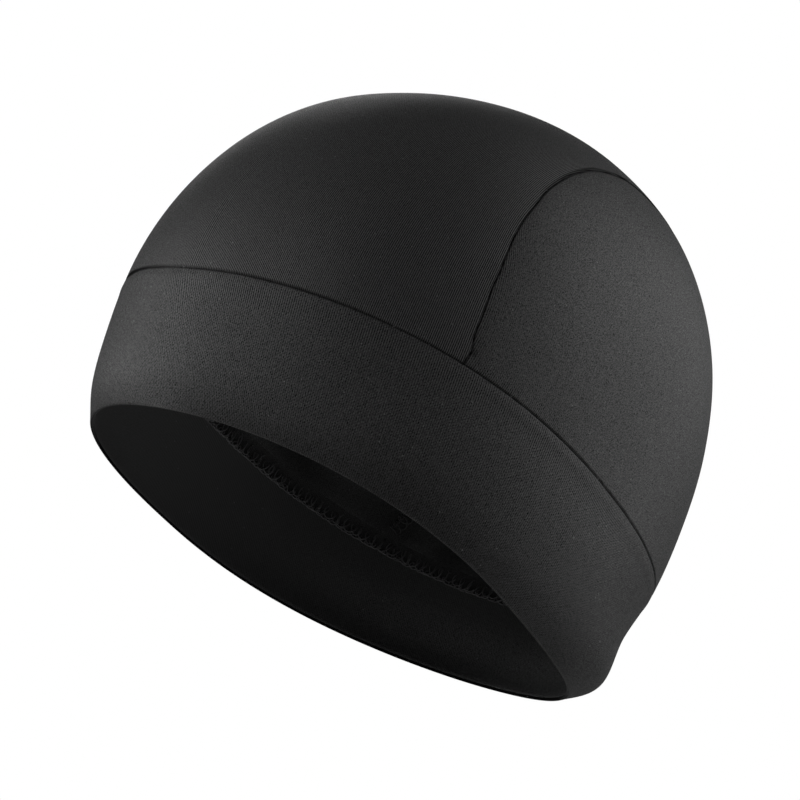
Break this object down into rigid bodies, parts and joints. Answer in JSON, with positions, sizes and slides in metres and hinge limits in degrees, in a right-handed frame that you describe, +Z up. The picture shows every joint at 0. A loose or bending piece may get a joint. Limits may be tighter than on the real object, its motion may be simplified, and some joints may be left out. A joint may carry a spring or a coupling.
{
  "type": "cycling cap",
  "caption": "Peakless cycling cap of smooth black stretch jersey, with a folded brow band and a panelled crown, worn under a helmet",
  "frame": {"origin": "middle of the head opening, level with the front edge of the rim", "axes": "+Z up along the crown, -Y towards the brow, +X towards the wearer's left"},
  "size_m": [0.157, 0.1986, 0.1561],
  "materials": {
    "jersey": "smooth matte stretch jersey with a soft satin sheen",
    "overlock": "jersey edges bound with textured overlock thread"
  },
  "bodies": {
    "root": {"band": "jersey", "crown_center_panel": "jersey", "side_panel_left": "jersey", "side_panel_right": "jersey", "band_seam_allowance": "overlock", "panel_seam_allowance_left": "overlock", "panel_seam_allowance_right": "overlock"}
  },
  "joints": []
}
